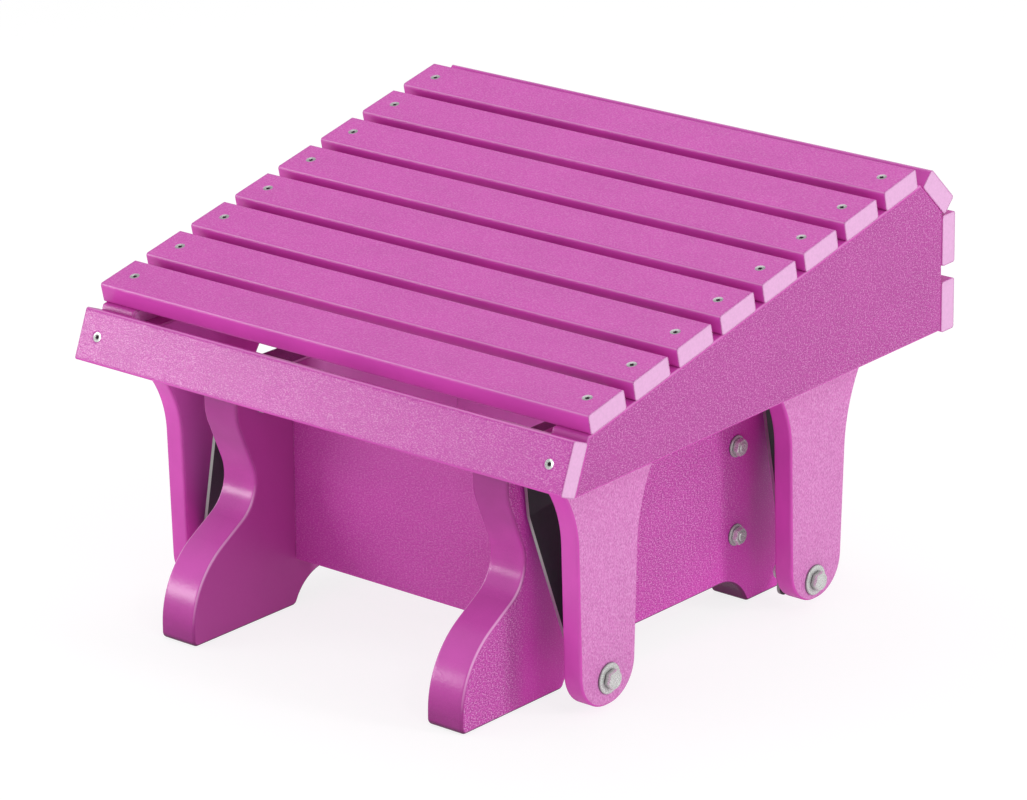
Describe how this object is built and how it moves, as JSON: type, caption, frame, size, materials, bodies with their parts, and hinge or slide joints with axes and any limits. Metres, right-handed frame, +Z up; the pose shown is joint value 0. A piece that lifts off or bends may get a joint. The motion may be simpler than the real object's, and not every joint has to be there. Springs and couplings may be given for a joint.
{
  "type": "glider ottoman",
  "caption": "Plastic-lumber footrest with a sloping slatted seat hung on splayed steel links from a low two-legged base, so that it glides back and forth.",
  "frame": {"origin": "on the floor under the centre of the whole ottoman's box", "axes": "+X to the right seen from the front, +Y to the back where the seat is higher, +Z up"},
  "size_m": [0.559, 0.5676, 0.405],
  "materials": {
    "lumber": "embossed grain on broad faces, satin on the routed edges",
    "zinc": "zinc plated",
    "strap": "black powder coat worn bare at the sheared edges",
    "nylon": "moulded nylon"
  },
  "bodies": {
    "base": {"leg_left": "lumber", "leg_right": "lumber", "cross_panel_front": "lumber", "cross_panel_rear": "lumber", "cross_bolts": "zinc", "cross_bolt_washers": "zinc", "cross_bolt_nuts": "zinc", "upper_pivot_bolts": "zinc", "upper_pivot_washers": "zinc", "upper_pivot_spacers": "zinc", "upper_pivot_nuts": "zinc"},
    "seat": {"side_panel_left": "lumber", "side_panel_right": "lumber", "slat_1": "lumber", "slat_2": "lumber", "slat_3": "lumber", "slat_4": "lumber", "slat_5": "lumber", "slat_6": "lumber", "slat_7": "lumber", "slat_8": "lumber", "front_apron": "lumber", "nose_slat": "lumber", "rear_slat_upper": "lumber", "rear_slat_lower": "lumber", "hanger_front_left": "lumber", "hanger_front_right": "lumber", "hanger_rear_left": "lumber", "hanger_rear_right": "lumber", "lower_pivot_bolts": "zinc", "lower_pivot_washers": "zinc", "lower_pivot_spacers": "zinc", "lower_pivot_nuts": "zinc", "slat_screws": "zinc", "front_apron_screws": "zinc", "nose_slat_screws": "zinc", "rear_slat_screws": "zinc", "hanger_screws": "zinc"},
    "link_front_left": {"link_front_left": "strap", "link_front_left_bushes": "nylon"},
    "link_front_right": {"link_front_right": "strap", "link_front_right_bushes": "nylon"},
    "link_rear_left": {"link_rear_left": "strap", "link_rear_left_bushes": "nylon"},
    "link_rear_right": {"link_rear_right": "strap", "link_rear_right_bushes": "nylon"}
  },
  "joints": [
    {"name": "glide", "type": "hinge", "parent": "base", "child": "link_front_right", "pos_m": [0.1815, -0.1862, 0.2103], "axis": [1, 0, 0], "range_deg": [-15, 15]},
    {"name": "seat_swing", "type": "hinge", "parent": "link_front_right", "child": "seat", "pos_m": [0.214, -0.1646, 0.0322], "axis": [1, 0, 0], "range_deg": [-17.2, 17.2]},
    {"name": "link_front_left_swing", "type": "hinge", "parent": "base", "child": "link_front_left", "pos_m": [-0.1815, -0.1862, 0.2103], "axis": [1, 0, 0], "range_deg": [-15, 15]},
    {"name": "link_rear_left_swing", "type": "hinge", "parent": "base", "child": "link_rear_left", "pos_m": [-0.1815, 0.1538, 0.2103], "axis": [1, 0, 0], "range_deg": [-15, 15]},
    {"name": "link_rear_right_swing", "type": "hinge", "parent": "base", "child": "link_rear_right", "pos_m": [0.1815, 0.1538, 0.2103], "axis": [1, 0, 0], "range_deg": [-15, 15]}
  ],
  "couplings": [
    {"joint": "seat_swing", "follows": "glide", "ratio": -1.1431},
    {"joint": "link_front_left_swing", "follows": "glide", "ratio": 1},
    {"joint": "link_rear_left_swing", "follows": "glide", "ratio": 1},
    {"joint": "link_rear_right_swing", "follows": "glide", "ratio": 1}
  ]
}
